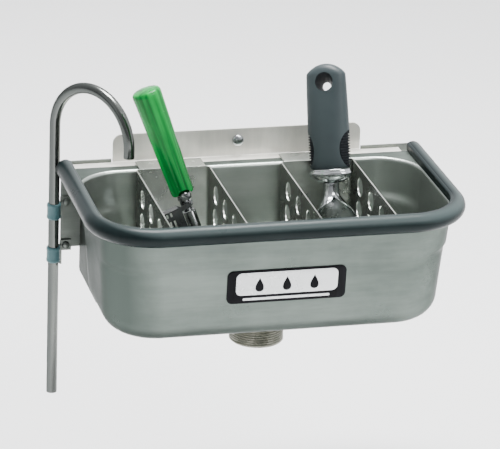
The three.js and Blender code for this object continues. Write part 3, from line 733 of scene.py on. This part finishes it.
# ------------------------------------------------------------------ drain and overflow
def threaded(radius, low, high, pitch=2.2, depth=0.8, sides=72):
    """The outside of a screw thread, as rows from low to high."""
    rows = []
    steps = int((high - low) / pitch * 8)
    for k in range(steps + 1):
        z = low + (high - low) * k / steps
        row = []
        for i in range(sides):
            phase = (z / pitch - i / sides) % 1.0
            ridge = abs(2 * phase - 1)
            fade = min(1.0, (z - low) / 2, (high - z) / 2)
            r = radius - depth * ridge * max(0.0, fade)
            angle = 2 * math.pi * i / sides
            row.append(Vector((r * math.cos(angle), r * math.sin(angle), z)))
        rows.append(row)
    return rows


def drain():
    floor = -DEPTH
    at = DRAIN
    rows = [ring_points(20, 20, -140, 72), ring_points(23.2, 23.2, -140, 72)]
    rows += threaded(24, -139.2, floor - 1)
    cup = [(24, floor + 0.35), (31, floor + 0.35), (31, floor + 1), (30.2, floor + 1.9), (27, floor + 2.3),
           (22, floor + 2.35), (20, floor + 1.9), (18.1, floor + 0.3), (18, floor - 8), (20, floor - 10)]
    rows += [ring_points(r, r, z, 72) for r, z in cup]
    make("drain_tail", grid(rows + [rows[0]]), DRAIN_METAL, "well", ["drain_body"], at, 40)
    under = floor - WALL - 0.3
    washer = [(24.4, under - 2.9), (30.2, under - 2.9), (31, under - 2.3), (31.2, under - 1.5),
              (31, under - 0.6), (30.2, under), (24.4, under)]
    make("drain_washer", lathe(washer, 72), BLACK_RUBBER, "well", ["drain_gasket"], at)
    refined("drain_nut", "drain_locknut", DRAIN_METAL, 0.7, 3)
    pipe = [(12.8, -108), (14, -108), (14, -47)] + arc_points(14.6, -45.2, 0.9, -20, 160, 8) + [(12.8, -47)]
    make("overflow_tube", lathe(pipe, 64), TOOL_STEEL, "overflow", ["overflow_pipe"], at, 40)
    plug = [(14.3, -107), (16.4, -107), (17, -104), (17.7, -99), (17.7, -97)] + [(17.2, -96.1), (14.3, -96)]
    node = "overflow_stopper"
    make("overflow_plug", lathe(plug, 64), BLACK_RUBBER, "overflow", [node], at, 40)


# ------------------------------------------------------------------ dividers
def basin_front(z):
    """How far towards the front the basin's inside reaches at a height, from the basin's centre."""
    knee = -(DEPTH - FLOOR_FILLET)
    inset = -z * math.tan(DRAFT) if z < 0 else 0
    if z < knee:
        share = min(1.0, (knee - z) / FLOOR_FILLET)
        inset = -knee * math.tan(DRAFT) + FLOOR_FILLET * (1 - math.sqrt(1 - share * share))
    return -(OPENING_Y - inset - 1.4)


def divider(name, side):
    """One folded sheet: two perforated plates, bends, a plain back web and a hook over the rear rim."""
    centre = side * PLATE_PITCH
    half, bend, thick = PLATE_PITCH / 2, 3.0, 1.1
    top, web_y = 1.4, 73.7
    rows = []
    heights = [top, 0.6, -1, -8, -20, -35, -50, -65, -74, -80, -84, -88, -91, -94, -96, -97.5]
    for z in heights:
        front, lean = basin_front(z), max(0.0, -z) * math.tan(DRAFT)
        back = web_y - lean
        if z < -80:
            back = -basin_front(z) - 1.2
        path = [Vector((-half, front + (back - bend - front) * k / 10, z)) for k in range(11)]
        if z >= -80:
            arc = arc_points(-half + bend, 0, bend, 180, 90, 6)[1:]
            path += [Vector((x, y + back - bend, z)) for x, y in arc]
            mirrored = [Vector((-p.x, p.y, p.z)) for p in reversed(path)]
            rows.append((path, mirrored))
        else:
            rows.append((path + [path[-1] + Vector((0, bend * k / 6, 0)) for k in range(1, 7)], None))
    joined_rows = [path + mirror for path, mirror in rows if mirror]
    upper = grid(joined_rows, closed=False)
    lower_left = [path for path, mirror in rows if not mirror]
    seam = [path for path, mirror in rows if mirror][-1]
    lower = [seam[:17]] + lower_left
    left = grid(lower, closed=False)
    right = grid([[Vector((-p.x, p.y, p.z)) for p in row] for row in lower], closed=False)
    sheet = fix_normals(joined(upper, left, right))
    at = PAN @ Matrix.Translation((centre, 0, 0))
    body = ("left" if side < 0 else "right") + "_insert"
    node = "divider_" + ("left" if side < 0 else "right")
    piece = make(name, sheet, DIVIDER_STEEL, body, [node], at, 40)
    modifier(piece, "SOLIDIFY", thickness=thick * MM, offset=0.0)
    cutters = bpy.data.meshes.new("holes")
    bm = bmesh.new()
    for row, z in enumerate((-15, -36.5, -58, -79.5)):
        for y in (43, 9, -25, -59) if row < 3 else (9, -25):
            spin = Matrix.Translation((0, y, z)) @ Matrix.Rotation(math.pi / 2, 4, "Y")
            bmesh.ops.create_cone(bm, cap_ends=True, segments=40, radius1=8.5, radius2=8.5,
                                  depth=2 * half + 20, matrix=spin)
    bm.to_mesh(cutters)
    bm.free()
    cutters.transform(Matrix.Scale(MM, 4) @ at)
    cut_with(piece, cutters)
    clean_sheet(piece, 40)
    modifier(piece, "BEVEL", width=0.22 * MM, segments=2, limit_method="ANGLE", angle_limit=math.radians(50))
    hook(name + "_hook", half, web_y, at, body)
    return piece


def clean_sheet(piece, sharp):
    mesh = piece.data
    for face in mesh.polygons:
        face.use_smooth = True
    mesh.set_sharp_from_angle(angle=math.radians(sharp))


def hook(name, half, web_y, at, body):
    """The tab that folds back from the web over the rear rim."""
    rows = []
    for x in (-half + 3, half - 3):
        fold = [Vector((x, y, z)) for y, z in arc_points(web_y + 1.0, -0.1, 1.0, 180, 90, 5)]
        rows.append(fold + [Vector((x, web_y + y, 0.9)) for y in (4, 10, 16, 20.5)])
    mesh = grid(rows, closed=False)
    piece = make(name, mesh, DIVIDER_STEEL, body, [], at, 40)
    modifier(piece, "SOLIDIFY", thickness=1.1 * MM, offset=0.0)
    modifier(piece, "BEVEL", width=0.3 * MM, segments=3, limit_method="ANGLE", angle_limit=math.radians(50))


# ------------------------------------------------------------------ disher
HANDLE = [(0.5, 8.4), (0.7, 9.0), (1.4, 9.6), (3, 9.85), (8, 10.0), (14, 10.15), (22, 10.4), (30, 10.65),
          (40, 10.95), (52, 11.3), (66, 11.75), (78, 12.1), (88, 12.4), (93, 12.55), (95, 12.3),
          (96.2, 11.6), (97, 10.4), (97.5, 8.6), (98, 5), (98.3, 0.02)]


def disher_handle():
    """A glossy tapered grip: a flat round end, shallow flutes that fade upwards, and an arched mouth."""
    sides = 120
    rows = []
    for z, radius in HANDLE:
        deepest = 0.22 + 0.4 * (1 - smooth_step(z, 18, 62))
        depth = deepest * smooth_step(z, 0.5, 5) * (1 - smooth_step(z, 84, 93))
        row = []
        for i in range(sides):
            angle = 2 * math.pi * i / sides
            r = radius - depth * max(0.0, math.cos(10 * angle)) ** 2
            row.append(Vector((r * math.cos(angle), r * math.sin(angle), z)))
        rows.append(row)
    node = "disher_handle"
    piece = make("green_handle", grid(rows, caps=True), GREEN, "disher", [node], DISHER, 50)
    mouth = lathe([(0, -20), (6.6, -20), (6.6, 20), (0, 20)], 64, closed=False)
    turn = DISHER @ Matrix.Translation((0, 0, -1)) @ Matrix.Rotation(math.pi / 2, 4, "X")
    mouth.transform(Matrix.Scale(MM, 4) @ turn)
    cut_with(piece, mouth)
    clean_sheet(piece, 45)
    modifier(piece, "BEVEL", width=0.3 * MM, segments=3, limit_method="ANGLE", angle_limit=math.radians(50))


def disher_shank():
    refined("disher_stem", "disher_shank", TOOL_STEEL, 0.25)
    refined("disher_pin", "lever_pin", CHROME, 0.2)
    refined("disher_lever", "thumb_lever", LEVER_STEEL, 0.12, 1)
    refined("disher_pinion", "scraper_pinion", TOOL_STEEL, 0.1, 1)
    refined("disher_scraper", "scraper_blade", CHROME, 0.12, 1)


def half_bowl():
    """The disher's bowl: a hemisphere shell about X, notched at both ends for the scraper's axle."""
    radius, wall, notch = 28.0, 0.9, 2.0
    rings = []
    for i in range(1, 25):
        turn = math.pi / 2 * i / 24
        reach = (radius - wall / 2) * math.sin(turn)
        depth = -(radius - wall / 2) * math.cos(turn)
        rings.append([Vector((depth, p.x, p.y)) for p in ring_points(reach, reach, 0, 72)])
    mesh = grid([[Vector((-(radius - wall / 2), 0, 0))] * 72] + rings)
    at = DISHER @ Matrix.Translation((0, 0, -89))
    piece = make("portion_bowl", mesh, CHROME, "disher", ["disher_bowl"], at, 60)
    modifier(piece, "SOLIDIFY", thickness=wall * MM, offset=0.0)
    axle = grid([ring_points(notch, notch, z, 24) for z in (-40, 40)], caps=True)
    axle.transform(Matrix.Scale(MM, 4) @ at)
    cut_with(piece, axle)
    modifier(piece, "BEVEL", width=0.15 * MM, segments=2, limit_method="ANGLE", angle_limit=math.radians(50))


def spring():
    """Two and a half coils of wire with both legs running out along the lever."""
    refined("disher_spring", "return_spring", TOOL_STEEL, 0.05, 1, 60)


# ------------------------------------------------------------------ scoop
GRIP = [(3.9, 15.2, 8.4), (4.2, 17.2, 9.9), (5.5, 18.0, 10.4), (10, 18.5, 10.8), (20, 18.8, 11.0),
        (30, 18.9, 10.95), (42, 18.8, 10.6), (56, 18.55, 10.15), (70, 18.3, 9.5), (80, 18.05, 9.0),
        (86, 17.9, 8.7), (88, 17.6, 8.6), (89.2, 16.8, 8.4), (91, 15.0, 8.0), (93, 12.4, 7.3),
        (94.8, 9.3, 6.1), (96, 6.5, 4.8), (96.8, 3.3, 2.6), (97, 0.5, 0.4)]
POCKET = (10.5, 12.0, 16.5)  # half sizes of a side recess
POCKET_X, POCKET_Z = 18.5, 21.0


def grip_size(z):
    for (z0, a0, b0), (z1, a1, b1) in zip(GRIP, GRIP[1:]):
        if z <= z1:
            t = max(0.0, (z - z0) / (z1 - z0))
            return a0 + (a1 - a0) * t, b0 + (b1 - b0) * t
    return GRIP[-1][1:]


def scoop_grip():
    """An oval soft grip with a domed end, a flared hanging hole and lens-shaped side recesses."""
    rows = [ring_points(a, b, z, 96, 2.3) for z, a, b in GRIP]
    node = "scoop_grip"
    piece = make("soft_grip", grid(rows, caps=True), GRIP_RUBBER, "scoop", [node], SCOOP, 70)
    modifier(piece, "SUBSURF", levels=1, render_levels=1)
    bake(piece)
    bm = bmesh.new()
    hole = lathe([(0, -13), (9.0, -13), (5.9, 0), (3.7, 9), (3.2, 13), (0, 13)], 64, closed=False)
    tilt = Matrix.Rotation(0.11, 4, "Z") @ Matrix.Rotation(-0.25 - math.pi / 2, 4, "X")
    hole.transform(Matrix.Scale(MM, 4) @ SCOOP @ Matrix.Translation((-1, 0, 78.6)) @ tilt)
    bm.from_mesh(hole)
    for side in (-1, 1):
        place = SCOOP @ Matrix.Translation((side * POCKET_X, 0, POCKET_Z)) @ Matrix.Diagonal((*POCKET, 1))
        bmesh.ops.create_uvsphere(bm, u_segments=48, v_segments=32, radius=1,
                                  matrix=Matrix.Scale(MM, 4) @ place)
    cutters = bpy.data.meshes.new("cutters")
    bm.to_mesh(cutters)
    bm.free()
    cutters.materials.append(FIN_RUBBER)
    cut_with(piece, cutters)
    clean_sheet(piece, 50)
    modifier(piece, "BEVEL", width=0.5 * MM, segments=3, limit_method="ANGLE", angle_limit=math.radians(45))


def grip_skin(y, z):
    """How far the grip's side stands out from its middle at a depth and a height."""
    a, b = grip_size(z)
    return a * max(0.0, 1 - abs(y / b) ** 2.3) ** (1 / 2.3)


def recess_floor(y, z):
    """How far out a side recess begins at a depth and a height, a little above its floor."""
    share = 1 - ((z - POCKET_Z) / POCKET[2]) ** 2 - (y / (POCKET[1] - 0.4)) ** 2
    return POCKET_X - (POCKET[0] - 0.8) * math.sqrt(max(0.0, share))


def fin_outline(z, sunk):
    """A slice of a recess's filling as (out, depth) points, sunk some way below the grip's skin."""
    edge = POCKET[1]
    while edge > 0.2 and recess_floor(edge, z) > grip_skin(edge, z) - sunk - 0.4:
        edge -= 0.1
    across = [edge * (2 * i / 24 - 1) for i in range(25)]
    outside = [(grip_skin(y, z) - sunk, y) for y in reversed(across)]
    return [(recess_floor(y, z), y) for y in across] + outside


def grip_fins(name, node, side):
    """A stack of thin flexible fins on a core that fills a side recess, up to the grip's skin."""
    levels = [POCKET_Z + POCKET[2] * 0.93 * (2 * i / 20 - 1) for i in range(21)]
    core = grid([[Vector((side * x, y, z)) for x, y in fin_outline(z, 1.5)] for z in levels], caps=True)
    fins = [core]
    for k in range(13):
        z = POCKET_Z + (k - 6) * 2.35
        outline = fin_outline(z, 0.15)
        rows = [[Vector((side * x, y, z + rise)) for x, y in outline] for rise in (-0.65, 0.65)]
        fins.append(grid(rows, caps=True))
    piece = make(name, joined(*fins), FIN_RUBBER, "scoop", [node], SCOOP, 40)
    modifier(piece, "BEVEL", width=0.2 * MM, segments=2, limit_method="ANGLE", angle_limit=math.radians(50))


# Height, half width, half depth and centre of the scoop's blade and neck, tip first.
SPADE = [(-97.2, 0.4, 0.3, -8), (-97, 3, 2, -8), (-96.4, 6.4, 4, -8), (-93, 12.8, 8.5, -8),
         (-86, 18.2, 12, -8), (-80, 20.2, 13.4, -8), (-74, 21.4, 14.2, -8), (-66, 22.3, 14.8, -8),
         (-58, 22.6, 15, -8), (-50, 22.3, 14.4, -8), (-44, 21.6, 13.5, -8), (-38, 19.8, 12, -8),
         (-34, 17.9, 10.5, -7.4), (-30, 14.8, 8.8, -6.2), (-26, 11.3, 7.2, -4), (-24, 9.8, 6.2, -2.7),
         (-22, 8.5, 5.5, -1.5), (-20, 7.6, 5.1, -0.5), (-18, 7.2, 4.8, 0), (-15, 7.1, 4.8, 0),
         (-12, 7.1, 4.9, 0), (-10, 7.3, 5.1, 0), (-8.7, 7.5, 5.2, 0)]
MOUTH_TOP, MOUTH_SIDES = -19.0, -33.0


def scoop_metal():
    """A chrome collar and a blade that opens from a round neck into a concave spade."""
    bead = [(0.01, 3.7), (17.2, 3.7), (17.8, 3.3), (18.1, 2.4), (18.2, 1.4), (18.9, 0.9), (19.4, 0),
            (19.4, -1.0), (18.8, -2.4), (17.6, -3.9), (16.0, -5.2), (14.0, -6.3), (12.0, -7.2),
            (10.2, -7.9), (8.4, -8.4), (0.01, -8.4)]
    collar = lathe(bead, 72, closed=False)
    collar.transform(Matrix.Diagonal((1, 0.62, 1, 1)))
    make("chrome_collar", collar, CHROME, "scoop", ["scoop_collar"], SCOOP, 50)
    turn = Matrix.Rotation(0.59, 4, "Z")
    piece = make("scoop_spade", spade(), CHROME, "scoop", ["scoop_blade"], SCOOP @ turn, 60)
    piece.data.materials.append(SPADE_STEEL)
    modifier(piece, "SOLIDIFY", thickness=1.2 * MM, offset=-1.0, material_offset=1)
    modifier(piece, "BEVEL", width=0.4 * MM, segments=3, limit_method="ANGLE", angle_limit=math.radians(50))


def spade():
    """The blade's outer skin, open to -Y below a pointed arch."""
    rows = []
    for z, half, depth, centre in SPADE:
        lips = math.pi / 2 * smooth_step(z, MOUTH_SIDES, MOUTH_TOP)
        row = []
        for k in range(49):
            angle = -lips + (math.pi + 2 * lips) * k / 48
            row.append(Vector((half * math.cos(angle), centre + depth * math.sin(angle), z)))
        rows.append(row)
    return grid(rows, closed=False)


# ------------------------------------------------------------------ studio
def studio():
    """A pale floor, a bright even sky and three soft lights."""
    floor = bpy.data.meshes.new("floor")
    size, low = 9.0, CAD_BOX[0][2] - 0.08
    corners = [(-size, -size, low), (size, -size, low), (size, size, low), (-size, size, low)]
    floor.from_pydata(corners, [], [(0, 1, 2, 3)])
    n = Nodes("floor_paint", Roughness=0.9)
    pale = n.blend(n.ramp(n.noise(1.5), 0, 1), (0.93, 0.93, 0.93), (0.96, 0.96, 0.96))
    n.link(pale, n.shader.inputs["Base Color"])
    floor.materials.append(n.material)
    ground = bpy.data.objects.new("floor", floor)
    bpy.context.scene.collection.objects.link(ground)
    bpy.context.scene.world = sky()
    area_light("key", (1.0, -1.7, 1.7), 1.0, 34)
    area_light("fill", (-1.8, -1.0, 1.0), 1.4, 4)
    area_light("top", (0.1, 0.25, 1.6), 0.8, 90)


def sky():
    """An even studio sky, brighter beyond the wall side so that level edges shine."""
    world = bpy.data.worlds.new("studio")
    world.use_nodes = True
    tree = world.node_tree
    backdrop = tree.nodes["Background"]
    backdrop.inputs["Color"].default_value = (0.97, 0.98, 1.0, 1)
    toward = tree.nodes.new("ShaderNodeVectorMath")
    toward.operation = "DOT_PRODUCT"
    toward.inputs[1].default_value = (0.62, 0.74, 0.15)
    tree.links.new(tree.nodes.new("ShaderNodeTexCoord").outputs["Generated"], toward.inputs[0])
    level = tree.nodes.new("ShaderNodeMapRange")
    for socket, value in (("From Min", -0.7), ("From Max", 0.9), ("To Min", 0.45), ("To Max", 2.0)):
        level.inputs[socket].default_value = value
    tree.links.new(toward.outputs["Value"], level.inputs["Value"])
    tree.links.new(level.outputs["Result"], backdrop.inputs["Strength"])
    return world


def area_light(name, place, size, power):
    data = bpy.data.lights.new(name, "AREA")
    data.size = size
    data.energy = power
    light = bpy.data.objects.new(name, data)
    light.location = place
    aim = Vector((0, PAN_Y * MM, 0)) - Vector(place)
    light.rotation_euler = aim.to_track_quat("-Z", "Y").to_euler()
    bpy.context.scene.collection.objects.link(light)


basin()
bumper()
bracket()
cross_screw("wall_screw", "mounting_screw", 1.7, CHROME)
cross_screw("strap_screw_upper", "clip_screw_upper", 2.1, PLATE_STEEL)
cross_screw("strap_screw_lower", "clip_screw_lower", 2.1, PLATE_STEEL)
badge()
water_tube()
cushions()
drain()
divider("divider_sheet_left", -1)
divider("divider_sheet_right", 1)
disher_handle()
disher_shank()
half_bowl()
spring()
scoop_grip()
grip_fins("fins_left", "grip_fins_left", -1)
grip_fins("fins_right", "grip_fins_right", 1)
scoop_metal()
studio()
